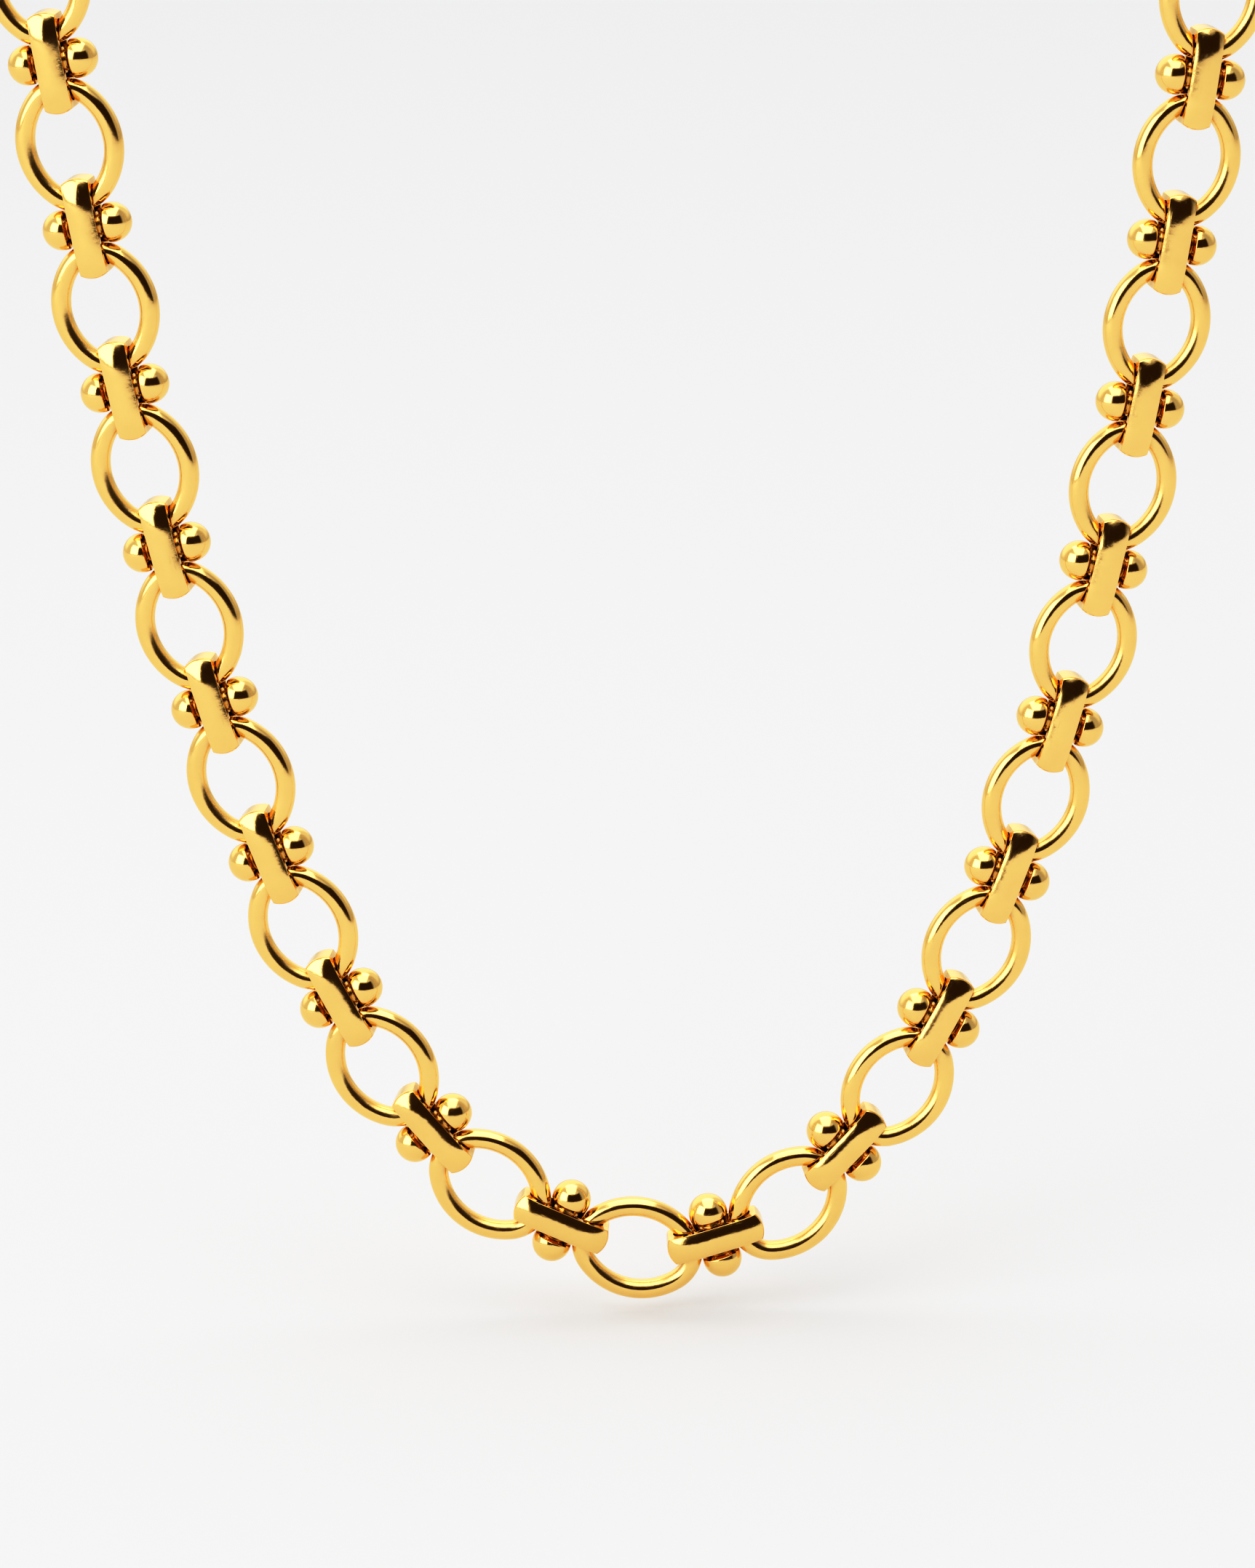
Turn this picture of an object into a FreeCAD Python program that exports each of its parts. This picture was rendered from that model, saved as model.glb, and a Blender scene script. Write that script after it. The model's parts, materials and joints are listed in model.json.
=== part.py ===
"""Parametric model of an oval-ring and bar-link chain necklace, hanging open from its two ends.

Units are millimetres. The chain hangs in the XZ plane, the front faces -Y and +Z is up. The origin is
the lowest point of the bottom centre ring.

Every link has its own local frame: X across the chain, Y front to back, Z along the chain and outward
from the bottom centre ring. Sizes come from the sheet "sizes". Repeated links are compounds of a few
master pieces, each with its own placement.
"""

import FreeCAD, Part

import math
import os

import Sketcher
from FreeCAD import Placement, Rotation, Vector

# (alias, value in millimetres or degrees or a count, what it is)
SIZES = [
    ("ring_wire", 1.8, "round wire of the oval rings, diameter"),
    ("ring_length", 12.1, "oval ring, outside, along the chain"),
    ("ring_width", 9.75, "oval ring, outside, across the chain"),
    ("ring_end_radius", 3.15, "wire centre line radius of the ring's two end arcs"),
    ("ring_count", 25, "oval rings in the chain"),
    ("half_pitch", 7.45, "ring centre to strap loop centre, chain straight"),
    ("strap_width", 2.5, "strap loop, across the chain"),
    ("strap_length", 9.1, "strap loop, outside, along the chain"),
    ("strap_depth", 4.2, "strap loop, outside, front to back"),
    ("strap_thickness", 0.9, "strap at its crown"),
    ("strap_dome", 0.38, "rise of the strap's domed outer face"),
    ("strap_corner", 0.3, "rounding of the strap loop's four mitred corners"),
    ("bar_diameter", 1.96, "cross bar where it shows beside the strap"),
    ("bar_collar", 2.2, "thick middle of the cross bar, length"),
    ("ball_diameter", 3.54, "ball on each end of the cross bar"),
    ("ball_centre", 2.22, "ball centre, from the middle of the loop"),
    ("ball_rim", 1.8, "sharp rim at the back of the ball, from the middle of the loop"),
    ("ball_back", 1.45, "where the ball's back face meets the bar, from the middle of the loop"),
    ("bar_end", 2.0, "end of the cross bar inside the ball, from the middle of the loop"),
    ("catenary", 20.1, "catenary parameter of the hanging chain"),
    ("low_point", 0.12, "lowest point of the catenary, in pitches to the right of the centre ring"),
    ("splay", 9.0, "degrees that the upper links face outward, as round a neck"),
    ("splay_links", 2.0, "pitches over which the links turn to face outward"),
    ("centre_tilt", -8.5, "degrees that the bottom centre ring sits askew in its loops"),
    ("next_tilt", 10.0, "degrees that the ring to its right sits askew"),
    ("jump_wire", 1.0, "jump ring wire, diameter"),
    ("jump_radius", 2.6, "jump ring, wire centre line radius"),
    ("chain_play", 0.07, "play between two linked wires"),
    ("ext_wire", 0.9, "extender link wire, diameter"),
    ("ext_length", 5.8, "extender link, outside, along the chain"),
    ("ext_width", 4.3, "extender link, outside, across the chain"),
    ("ext_count", 4, "extender links"),
    ("drop_ball", 4.0, "end drop ball, diameter"),
    ("drop_eye", 1.35, "end drop eye, wire centre line radius"),
    ("eye_hole", 1.0, "clasp tail eye, hole radius"),
    ("eye_outside", 1.9, "clasp tail eye, outside radius"),
    ("eye_thick", 1.0, "clasp tail eye, front to back"),
    ("claw_rise", 7.0, "clasp eye centre to claw centre"),
    ("claw_inside", 2.5, "claw opening, radius"),
    ("claw_outside", 4.0, "claw, outside radius"),
    ("claw_thick", 2.6, "claw, front to back"),
    ("hinge_across", 1.6, "lever pin, across the chain from the clasp's centre line"),
    ("hinge_rise", 4.23, "lever pin, along the chain from the clasp's eye centre"),
    ("hinge_boss", 1.35, "boss around the lever pin, radius"),
    ("lever_slot", 1.6, "slot for the lever, front to back"),
    ("lever_thick", 1.4, "lever, front to back"),
    ("lever_hub", 1.15, "lever hub, radius"),
    ("lever_reach", 5.5, "lever pin centre to lever tip"),
    ("lever_gap", 0.1, "play around the lever"),
    ("pin_radius", 0.4, "lever pin, radius"),
    ("spring_radius", 0.64, "torsion spring, wire centre line radius"),
    ("spring_wire", 0.2, "torsion spring wire, diameter"),
]


NODE_FILES = "parts"
NEVER_OK = ("Invalid", "Error")

doc = FreeCAD.newDocument("necklace")


def make_sheet():
    """The spreadsheet that holds every driving dimension, one alias a row."""
    sheet = doc.addObject("Spreadsheet::Sheet", "sizes")
    for row, (alias, value, meaning) in enumerate(SIZES, start=1):
        sheet.set(f"A{row}", meaning)
        sheet.set(f"B{row}", str(value))
        sheet.setAlias(f"B{row}", alias)
    doc.recompute()
    return sheet


sizes = make_sheet()


def size(alias):
    """The value of one cell, for the few places that read the sheet in code."""
    return float(getattr(sizes, alias))


# ---------------------------------------------------------------- sketch and body helpers


def new_body(name):
    return doc.addObject("PartDesign::Body", name)


def origin_plane(body, role):
    return next(f for f in body.Origin.OriginFeatures if f.Role == role)


def sketch_on(body, name, role):
    """An empty sketch on one of the body's own origin planes."""
    sketch = body.newObject("Sketcher::SketchObject", name)
    sketch.AttachmentSupport = (origin_plane(body, role), "")
    sketch.MapMode = "FlatFace"
    return sketch


def drive(sketch, number, expression):
    """Bind one of the sketch's constraints to the sheet."""
    sketch.setExpression(f"Constraints[{number}]", expression)


def constrain(sketch, *terms):
    return sketch.addConstraint(Sketcher.Constraint(*terms))


def arc(centre, radius, start_degrees, end_degrees):
    circle = Part.Circle(Vector(*centre, 0), Vector(0, 0, 1), radius)
    return Part.ArcOfCircle(circle, math.radians(start_degrees), math.radians(end_degrees))


def line(start, end):
    return Part.LineSegment(Vector(*start, 0), Vector(*end, 0))


def barrel_sketch(body, name, role, length_alias):
    """A strip as wide as the strap whose two ends are domed: two arcs and two straight sides."""
    half_width = size("strap_width") / 2
    crown = size(length_alias) / 2
    dome = size("strap_dome")
    radius = (half_width**2 + dome**2) / (2 * dome)
    spread = math.degrees(math.asin(half_width / radius))
    edge = crown - dome
    sketch = sketch_on(body, name, role)
    sketch.addGeometry(arc((0, crown - radius), radius, 90 - spread, 90 + spread))
    sketch.addGeometry(line((-half_width, edge), (-half_width, -edge)))
    sketch.addGeometry(arc((0, radius - crown), radius, 270 - spread, 270 + spread))
    sketch.addGeometry(line((half_width, -edge), (half_width, edge)))
    for first, second in ((0, 1), (1, 2), (2, 3), (3, 0)):
        constrain(sketch, "Coincident", first, 2, second, 1)
    constrain(sketch, "Symmetric", 0, 1, 0, 2, -2)
    constrain(sketch, "Symmetric", 0, 1, 2, 2, -1)
    constrain(sketch, "Symmetric", 0, 2, 2, 1, -1)
    width = constrain(sketch, "DistanceX", 0, 2, 0, 1, 2 * half_width)
    drive(sketch, width, "sizes.strap_width")
    height = constrain(sketch, "DistanceY", 3, 1, 3, 2, 2 * edge)
    drive(sketch, height, f"sizes.{length_alias} - 2 * sizes.strap_dome")
    domed = "((sizes.strap_width / 2)^2 + sizes.strap_dome^2) / (2 * sizes.strap_dome)"
    for index in (0, 2):
        drive(sketch, constrain(sketch, "Radius", index, radius), domed)
    return sketch


def slot_sketch(body, name, role):
    """The opening of the strap loop, seen from the side: a slot with two round ends."""
    half_gap = size("strap_depth") / 2 - size("strap_thickness")
    centre = size("strap_length") / 2 - size("strap_thickness") - half_gap
    sketch = sketch_on(body, name, role)
    sketch.addGeometry(arc((0, centre), half_gap, 0, 180))
    sketch.addGeometry(line((-half_gap, centre), (-half_gap, -centre)))
    sketch.addGeometry(arc((0, -centre), half_gap, 180, 360))
    sketch.addGeometry(line((half_gap, -centre), (half_gap, centre)))
    for first, second in ((0, 1), (1, 2), (2, 3), (3, 0)):
        constrain(sketch, "Coincident", first, 2, second, 1)
    constrain(sketch, "PointOnObject", 0, 3, -2)
    constrain(sketch, "Symmetric", 0, 3, 2, 3, -1, 1)
    constrain(sketch, "Symmetric", 0, 1, 0, 2, 0, 3)
    constrain(sketch, "Horizontal", 0, 1, 0, 2)
    constrain(sketch, "Symmetric", 2, 1, 2, 2, 2, 3)
    constrain(sketch, "Horizontal", 2, 1, 2, 2)
    gap = "sizes.strap_depth / 2 - sizes.strap_thickness"
    for index in (0, 2):
        drive(sketch, constrain(sketch, "Radius", index, half_gap), gap)
    rise = constrain(sketch, "DistanceY", -1, 1, 0, 3, centre)
    drive(sketch, rise, f"sizes.strap_length / 2 - sizes.strap_thickness - ({gap})")
    return sketch


def oval_path_sketch(body, name):
    """The ring wire's centre line: two end arcs and two flatter side arcs that meet on a tangent."""
    small = size("ring_end_radius")
    rise = (size("ring_length") - size("ring_wire")) / 2 - small
    step = (size("ring_width") - size("ring_wire")) / 2 - small
    aside = (rise**2 - step**2) / (2 * step)
    turn = math.degrees(math.atan2(rise, aside))
    joint = (small * aside / (aside + step), rise + small * rise / (aside + step))
    large = small + step + aside
    sketch = sketch_on(body, name, "XZ_Plane")
    sketch.addGeometry(arc((0, rise), small, turn, 180 - turn))
    sketch.addGeometry(arc((aside, 0), large, 180 - turn, 180 + turn))
    sketch.addGeometry(arc((0, -rise), small, 180 + turn, 360 - turn))
    sketch.addGeometry(arc((-aside, 0), large, -turn, turn))
    for first, second in ((0, 1), (1, 2), (2, 3), (3, 0)):
        constrain(sketch, "Coincident", first, 2, second, 1)
    constrain(sketch, "Symmetric", 0, 1, 0, 2, -2)
    constrain(sketch, "Symmetric", 0, 1, 2, 2, -1)
    constrain(sketch, "Symmetric", 0, 2, 2, 1, -1)
    rise_text = "((sizes.ring_length - sizes.ring_wire) / 2 - sizes.ring_end_radius)"
    step_text = "((sizes.ring_width - sizes.ring_wire) / 2 - sizes.ring_end_radius)"
    aside_text = f"(({rise_text}^2 - {step_text}^2) / (2 * {step_text}))"
    share = f"sizes.ring_end_radius / ({aside_text} + {step_text})"
    across = constrain(sketch, "DistanceX", -1, 1, 0, 1, joint[0])
    drive(sketch, across, f"{share} * {aside_text}")
    up = constrain(sketch, "DistanceY", -1, 1, 0, 1, joint[1])
    drive(sketch, up, f"{rise_text} + {share} * {rise_text}")
    for index in (0, 2):
        drive(sketch, constrain(sketch, "Radius", index, small), "sizes.ring_end_radius")
    for index in (1, 3):
        radius = constrain(sketch, "Radius", index, large)
        drive(sketch, radius, f"sizes.ring_end_radius + {step_text} + {aside_text}")
    return sketch


# ---------------------------------------------------------------- the master pieces of the chain


def oval_ring():
    """One oval ring of round wire, lying in the XZ plane."""
    body = new_body("oval_ring")
    path = oval_path_sketch(body, "ring_centre_line")
    half_width = (size("ring_width") - size("ring_wire")) / 2
    section = sketch_on(body, "ring_section", "XY_Plane")
    section_circle = Part.Circle(Vector(half_width, 0, 0), Vector(0, 0, 1), size("ring_wire") / 2)
    section.addGeometry(section_circle)
    constrain(section, "PointOnObject", 0, 3, -1)
    drive(section, constrain(section, "Radius", 0, size("ring_wire") / 2), "sizes.ring_wire / 2")
    across = constrain(section, "DistanceX", -1, 1, 0, 3, half_width)
    drive(section, across, "(sizes.ring_width - sizes.ring_wire) / 2")
    doc.recompute()
    pipe = body.newObject("PartDesign::AdditivePipe", "ring_wire_sweep")
    pipe.Profile = section
    pipe.Spine = (path, [f"Edge{number}" for number in range(1, 5)])
    return body


def strap_loop():
    """The strap loop: a domed strip closed into a long loop with four mitred corners."""
    body = new_body("strap_loop")
    block = body.newObject("PartDesign::Pad", "strap_block")
    block.Profile = barrel_sketch(body, "strap_section", "XY_Plane", "strap_depth")
    block.Midplane = True
    block.setExpression("Length", "sizes.strap_length")
    doc.recompute()
    before = block.Shape.Volume

    outline = barrel_sketch(body, "strap_outline", "XZ_Plane", "strap_length")
    half_width = size("strap_width") / 2
    frame_x = 4 * half_width
    frame_z = size("strap_length")
    corners = [(-frame_x, -frame_z), (frame_x, -frame_z), (frame_x, frame_z), (-frame_x, frame_z)]
    for index, corner in enumerate(corners):
        outline.addGeometry(line(corner, corners[(index + 1) % 4]))
    for index in range(4):
        constrain(outline, "Coincident", 4 + index, 2, 4 + (index + 1) % 4, 1)
        constrain(outline, "Horizontal" if index % 2 == 0 else "Vertical", 4 + index)
    constrain(outline, "Symmetric", 4, 1, 5, 2, -1, 1)
    drive(outline, constrain(outline, "DistanceX", 4, 1, 4, 2, 2 * frame_x), "4 * sizes.strap_width")
    drive(outline, constrain(outline, "DistanceY", 5, 1, 5, 2, 2 * frame_z), "2 * sizes.strap_length")
    ends = body.newObject("PartDesign::Pocket", "strap_ends")
    ends.Profile = outline
    ends.Midplane = True
    ends.Type = "ThroughAll"
    doc.recompute()
    assert ends.Shape.Volume < before, "the strap's ends were not cut"

    opening = body.newObject("PartDesign::Pocket", "strap_opening")
    opening.Profile = slot_sketch(body, "strap_slot", "YZ_Plane")
    opening.Midplane = True
    opening.Type = "ThroughAll"
    doc.recompute()
    assert opening.Shape.Volume < ends.Shape.Volume, "the strap's opening was not cut"

    mitres = [
        f"Edge{number}"
        for number, edge in enumerate(opening.Shape.Edges, start=1)
        if is_mitre(edge)
    ]
    assert len(mitres) == 8, f"{len(mitres)} half mitres, not two at each of four corners"
    rounded = body.newObject("PartDesign::Fillet", "strap_corners")
    rounded.Base = (opening, mitres)
    rounded.setExpression("Radius", "sizes.strap_corner")
    return body


def is_mitre(edge):
    """Is this edge half of a curve where a domed end meets a domed front or back?"""
    box = edge.BoundBox
    return min(box.XLength, box.YLength, box.ZLength) > 0.5 * size("strap_dome")


def turned_body(name, outline):
    """A piece turned about the X axis from its half outline of (x, radius) points and arcs."""
    face = Part.Face(Part.Wire(outline))
    piece = doc.addObject("Part::Feature", name)
    piece.Shape = face.revolve(Vector(0, 0, 0), Vector(1, 0, 0), 360)
    return piece


def edge_between(start, end):
    return Part.makeLine(Vector(start[0], 0, start[1]), Vector(end[0], 0, end[1]))


def cross_bar():
    """The bar through the loop: a thick middle soldered between the arms and two thinner necks."""
    middle = doc.addObject("Part::Cylinder", "bar_middle")
    middle.setExpression("Radius", "sizes.strap_depth / 2 - sizes.strap_thickness")
    middle.setExpression("Height", "sizes.bar_collar")
    middle.Placement = Placement(Vector(-size("bar_collar") / 2, 0, 0), Rotation(Vector(0, 1, 0), 90))
    neck = doc.addObject("Part::Cylinder", "bar_neck")
    neck.setExpression("Radius", "sizes.bar_diameter / 2")
    neck.setExpression("Height", "2 * sizes.bar_end")
    neck.Placement = Placement(Vector(-size("bar_end"), 0, 0), Rotation(Vector(0, 1, 0), 90))
    bar = doc.addObject("Part::Fuse", "cross_bar")
    bar.Base = middle
    bar.Tool = neck
    return bar


def ball(side):
    """One ball: a dome with a sharp rim and a shallow cone behind it, bored to sit on the bar's end."""
    centre, radius = size("ball_centre"), size("ball_diameter") / 2
    neck = size("bar_diameter") / 2
    rim = (size("ball_rim"), math.sqrt(radius**2 - (centre - size("ball_rim")) ** 2))
    seat, back = (size("bar_end"), 0), (size("ball_back"), neck)
    pole, middle = (centre + radius, 0), (centre, radius)
    dome = Part.Arc(*(Vector(x, 0, z) for x, z in (rim, middle, pole))).toShape()
    outline = [
        edge_between(seat, (size("bar_end"), neck)),
        edge_between((size("bar_end"), neck), back),
        edge_between(back, rim),
        dome,
        edge_between(pole, seat),
    ]
    piece = turned_body(f"ball_{'right' if side > 0 else 'left'}", outline)
    piece.Placement = Placement(Vector(), Rotation(Vector(0, 0, 1), 0 if side > 0 else 180))
    return piece


# ---------------------------------------------------------------- the pieces of the closure


def torus(name, radius_text, wire_text, sweep=360.0):
    """A round wire bent to an arc about local Z of the torus, starting on +X."""
    piece = doc.addObject("Part::Torus", name)
    piece.setExpression("Radius1", radius_text)
    piece.setExpression("Radius2", wire_text)
    piece.Angle3 = sweep
    return piece


def jump_ring():
    """A round ring of wire standing in the YZ plane."""
    ring = torus("jump_ring", "sizes.jump_radius", "sizes.jump_wire / 2")
    ring.Placement = Placement(Vector(), Rotation(Vector(0, 1, 0), 90))
    return ring


def extender_link():
    """A long link of round wire in the XZ plane: two half rings and two straight sides."""
    end_radius = (size("ext_width") - size("ext_wire")) / 2
    rise = (size("ext_length") - size("ext_wire")) / 2 - end_radius
    pieces = []
    for name, sign in (("link_top", 1), ("link_foot", -1)):
        bend = torus(name, "(sizes.ext_width - sizes.ext_wire) / 2", "sizes.ext_wire / 2", 180.0)
        bend.Placement = Placement(Vector(0, 0, sign * rise), Rotation(Vector(1, 0, 0), sign * 90))
        pieces.append(bend)
    for name, sign in (("link_side_right", 1), ("link_side_left", -1)):
        side = doc.addObject("Part::Cylinder", name)
        side.setExpression("Radius", "sizes.ext_wire / 2")
        side.setExpression("Height", "sizes.ext_length - sizes.ext_width")
        side.Placement = Placement(Vector(sign * end_radius, 0, -rise), Rotation())
        pieces.append(side)
    link = doc.addObject("Part::MultiFuse", "extender_link")
    link.Shapes = pieces
    return link


def end_drop():
    """The end drop: an eye of wire with a ball soldered under it, along +Z."""
    eye = torus("drop_eye", "sizes.drop_eye", "sizes.ext_wire / 2")
    eye.Placement = Placement(Vector(), Rotation(Vector(1, 0, 0), 90))
    bead = doc.addObject("Part::Sphere", "drop_bead")
    bead.setExpression("Radius", "sizes.drop_ball / 2")
    bead.Placement = Placement(Vector(0, 0, size("drop_eye") + size("drop_ball") / 2), Rotation())
    bored = doc.addObject("Part::Cut", "drop_bead_bored")
    bored.Base = bead
    bored.Tool = eye
    pair = doc.addObject("Part::Compound", "drop_pieces")
    pair.Links = [eye, bored]
    return pair


def disc(name, radius_text, thick_text, across=0.0, rise=0.0, depth=0.0):
    """A flat disc in the XZ plane, its thickness centred on the given depth."""
    piece = doc.addObject("Part::Cylinder", name)
    piece.setExpression("Radius", radius_text)
    piece.setExpression("Height", thick_text)
    doc.recompute()
    front = Vector(across, depth + float(piece.Height) / 2, rise)
    piece.Placement = Placement(front, Rotation(Vector(1, 0, 0), 90))
    return piece


def sector(name, radius_text, thick_text, start_degrees, sweep_degrees):
    """A slice of a disc about the claw's centre, from start_degrees, measured from +X towards +Z."""
    piece = disc(name, radius_text, thick_text, rise=size("claw_rise"))
    piece.Angle = sweep_degrees
    depth = piece.Placement.Base.y
    turn = Rotation(Vector(0, -1, 0), start_degrees).multiply(Rotation(Vector(1, 0, 0), 90))
    piece.Placement = Placement(Vector(0, depth, size("claw_rise")), turn)
    return piece


def boolean(kind, name, base, tool):
    piece = doc.addObject(f"Part::{kind}", name)
    piece.Base = base
    piece.Tool = tool
    return piece


def fuse_all(name, pieces):
    piece = doc.addObject("Part::MultiFuse", name)
    piece.Shapes = pieces
    return piece


HOOK_START, HOOK_SWEEP = 45.0, 247.0  # degrees about the claw's centre
LEVER_START, LEVER_SWEEP = -60.0, 125.0
SPRING_DEPTH = 0.48  # back end of the spring, as a share of the lever's thickness
SPRING_SECTION_TURN = Rotation(Vector(1, 0, 0), 90).multiply(Rotation(Vector(0, 0, 1), 45))


def clasp_body():
    """The claw: tail eye, neck, hook and the boss that holds the lever."""
    hinge = (size("hinge_across"), size("hinge_rise"))
    eye = disc("tail_eye", "sizes.eye_outside", "sizes.eye_thick")
    neck = doc.addObject("Part::Box", "tail_neck")
    neck.setExpression("Length", "2 * sizes.eye_hole")
    neck.setExpression("Width", "1.8 * sizes.eye_thick")
    neck.setExpression("Height", "sizes.claw_rise - sizes.claw_inside - sizes.eye_hole - 0.5")
    doc.recompute()
    corner = Vector(-float(neck.Length) / 2, -float(neck.Width) / 2, size("eye_hole") + 0.3)
    neck.Placement = Placement(corner, Rotation())
    hook = sector("hook_solid", "sizes.claw_outside", "sizes.claw_thick", HOOK_START, HOOK_SWEEP)
    boss = disc("hinge_boss_disc", "sizes.hinge_boss", "sizes.claw_thick", *hinge)
    solid = fuse_all("claw_solid", [eye, neck, hook, boss])

    eye_hole = disc("tail_hole", "sizes.eye_hole", "4 * sizes.eye_thick")
    opening = disc("claw_opening", "sizes.claw_inside", "2 * sizes.claw_thick", rise=size("claw_rise"))
    slot = disc("lever_slot_disc", "sizes.hinge_boss + 0.2", "sizes.lever_slot", *hinge)
    pin_hole = disc("pin_hole", "sizes.pin_radius", "2 * sizes.claw_thick", *hinge)
    swing = disc("nose_cut_disc", "sizes.lever_reach + sizes.lever_gap", "2 * sizes.claw_thick", *hinge)
    right = doc.addObject("Part::Box", "nose_cut_side")
    right.setExpression("Length", "2 * sizes.claw_outside")
    right.setExpression("Width", "4 * sizes.claw_thick")
    right.setExpression("Height", "4 * sizes.claw_outside")
    right.Placement = Placement(
        Vector(0, -2 * size("claw_thick"), size("claw_rise")), Rotation()
    )
    gate = boolean("Common", "nose_cut", swing, right)
    holes = fuse_all("claw_holes", [eye_hole, opening, slot, pin_hole, gate])
    return boolean("Cut", "claw", solid, holes)


def clasp_lever():
    """The lever that closes the claw, with its hub and thumb tab."""
    hinge = (size("hinge_across"), size("hinge_rise"))
    arm = sector("lever_arm_solid", "sizes.claw_outside - sizes.lever_gap", "sizes.lever_thick",
                 LEVER_START, LEVER_SWEEP)
    reach = disc("lever_reach_disc", "sizes.lever_reach", "2 * sizes.lever_thick", *hinge)
    arm = boolean("Common", "lever_arm", arm, reach)
    hub = disc("lever_hub_disc", "sizes.lever_hub", "sizes.lever_thick", *hinge)
    tab_across = size("claw_outside") + 0.2
    tab = disc("lever_tab", "0.8 * sizes.lever_thick / 2", "sizes.lever_thick", tab_across,
               size("claw_rise") - 1.3)
    solid = fuse_all("lever_solid", [arm, hub, tab])
    inside = disc("lever_inside", "sizes.claw_inside + sizes.lever_gap", "2 * sizes.lever_thick",
                  rise=size("claw_rise"))
    bore = disc("lever_bore", "sizes.pin_radius + 0.04", "2 * sizes.lever_thick", *hinge)
    pocket = disc("spring_pocket", "sizes.spring_radius + 1.8 * sizes.spring_wire",
                  "sizes.lever_thick / 2", *hinge, depth=0.1 + size("lever_thick") / 4)
    holes = fuse_all("lever_holes", [inside, bore, pocket])
    return boolean("Cut", "lever", solid, holes)


def clasp_pin():
    return disc("pin", "sizes.pin_radius", "sizes.claw_thick", size("hinge_across"), size("hinge_rise"))


def clasp_spring():
    """A torsion spring around the pin, beside the lever's hub: three close turns of square wire."""
    helix = doc.addObject("Part::Helix", "spring_line")
    helix.setExpression("Radius", "sizes.spring_radius")
    helix.setExpression("Pitch", "1.1 * sizes.spring_wire")
    helix.setExpression("Height", "2.2 * sizes.spring_wire")
    section = doc.addObject("Part::RegularPolygon", "spring_section")
    section.Polygon = 4
    section.setExpression("Circumradius", "sizes.spring_wire / sqrt(2)")
    section.Placement = Placement(Vector(size("spring_radius"), 0, 0), SPRING_SECTION_TURN)
    coil = doc.addObject("Part::Sweep", "torsion_spring")
    coil.Sections = [section]
    coil.Spine = (helix, ["Edge1"])
    coil.Solid = True
    coil.Frenet = True
    depth = SPRING_DEPTH * size("lever_thick")
    front = Vector(size("hinge_across"), depth, size("hinge_rise"))
    coil.Placement = Placement(front, Rotation(Vector(1, 0, 0), 90))
    return coil


# ---------------------------------------------------------------- placing the links


def along(slope, turn):
    """The unit direction of a link on the right half: slope above the horizontal, turned to the back."""
    level = math.cos(math.radians(slope))
    aside, back = math.cos(math.radians(turn)), math.sin(math.radians(turn))
    return Vector(level * aside, level * back, math.sin(math.radians(slope)))


def hanging_slope(links_out, side):
    """The catenary's slope, in degrees, this many pitches out from the bottom centre ring."""
    pitch = 2 * size("half_pitch")
    return math.degrees(math.atan2((links_out - side * size("low_point")) * pitch, size("catenary")))


def outward_turn(links_out):
    """How far a link is turned about the vertical, in degrees, to face outward."""
    return size("splay") * (1 - math.exp(-links_out / size("splay_links")))


def ring_slope(links_out, side):
    """A ring's slope: the catenary's, and askew for the two rings at the bottom."""
    askew = {0: size("centre_tilt"), 1: size("next_tilt")}
    return hanging_slope(links_out, side) + side * askew.get(side * links_out, 0)


def seat(position, slope, turn, side):
    """The placement of a link on the right (side 1) or, mirrored, on the left (side -1)."""
    mirrored = Vector(side * position.x, position.y, position.z)
    facing = Rotation(Vector(0, 0, 1), side * turn)
    return Placement(mirrored, facing.multiply(Rotation(Vector(0, 1, 0), side * (90 - slope))))


def place(label, masters, placement):
    """One sub-part: a placed compound of master pieces, each still its own solid."""
    node = doc.addObject("Part::Compound", label)
    node.Label = label
    node.Links = masters
    node.Placement = placement
    nodes.append(node)


def centre_ring_height(slope):
    """The bottom ring's centre, above the lowest point of its outside, which is on a side arc."""
    small = size("ring_end_radius")
    rise = (size("ring_length") - size("ring_wire")) / 2 - small
    step = (size("ring_width") - size("ring_wire")) / 2 - small
    aside = (rise**2 - step**2) / (2 * step)
    return size("ring_width") / 2 + aside * (1 - math.cos(math.radians(slope)))


def place_chain(ring, connector):
    """The rings and strap loops of both halves, from the bottom centre ring outward.

    A strap loop slides round a ring's end arc, so its line passes through the centre of that arc.
    Returns each half's last ring: its centre, slope and turn.
    """
    ring_count = int(size("ring_count"))
    middle = (ring_count + 1) // 2
    to_arc_centre = (size("ring_length") - size("ring_wire")) / 2 - size("ring_end_radius")
    arm = size("half_pitch") - to_arc_centre
    start = Vector(0, 0, centre_ring_height(ring_slope(0, 1)))
    place(f"ring_{middle:02d}", ring, seat(start, ring_slope(0, 1), 0, 1))
    tops = {}
    for side in (1, -1):
        centre = start
        slope = ring_slope(0, side)
        for step in range(middle - 1):
            loop_slope, loop_turn = hanging_slope(step + 0.5, side), outward_turn(step + 0.5)
            leave = along(slope, outward_turn(step)) * to_arc_centre
            slope, turn = ring_slope(step + 1, side), outward_turn(step + 1)
            loop_line = along(loop_slope, loop_turn) * arm
            loop = centre + leave + loop_line
            centre = loop + loop_line + along(slope, turn) * to_arc_centre
            ring_number = middle + side * (step + 1)
            loop_number = middle + step if side > 0 else middle - 1 - step
            place(f"connector_{loop_number:02d}", connector, seat(loop, loop_slope, loop_turn, side))
            place(f"ring_{ring_number:02d}", ring, seat(centre, slope, turn, side))
        tops[side] = (centre, slope, turn)
    return tops


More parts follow.
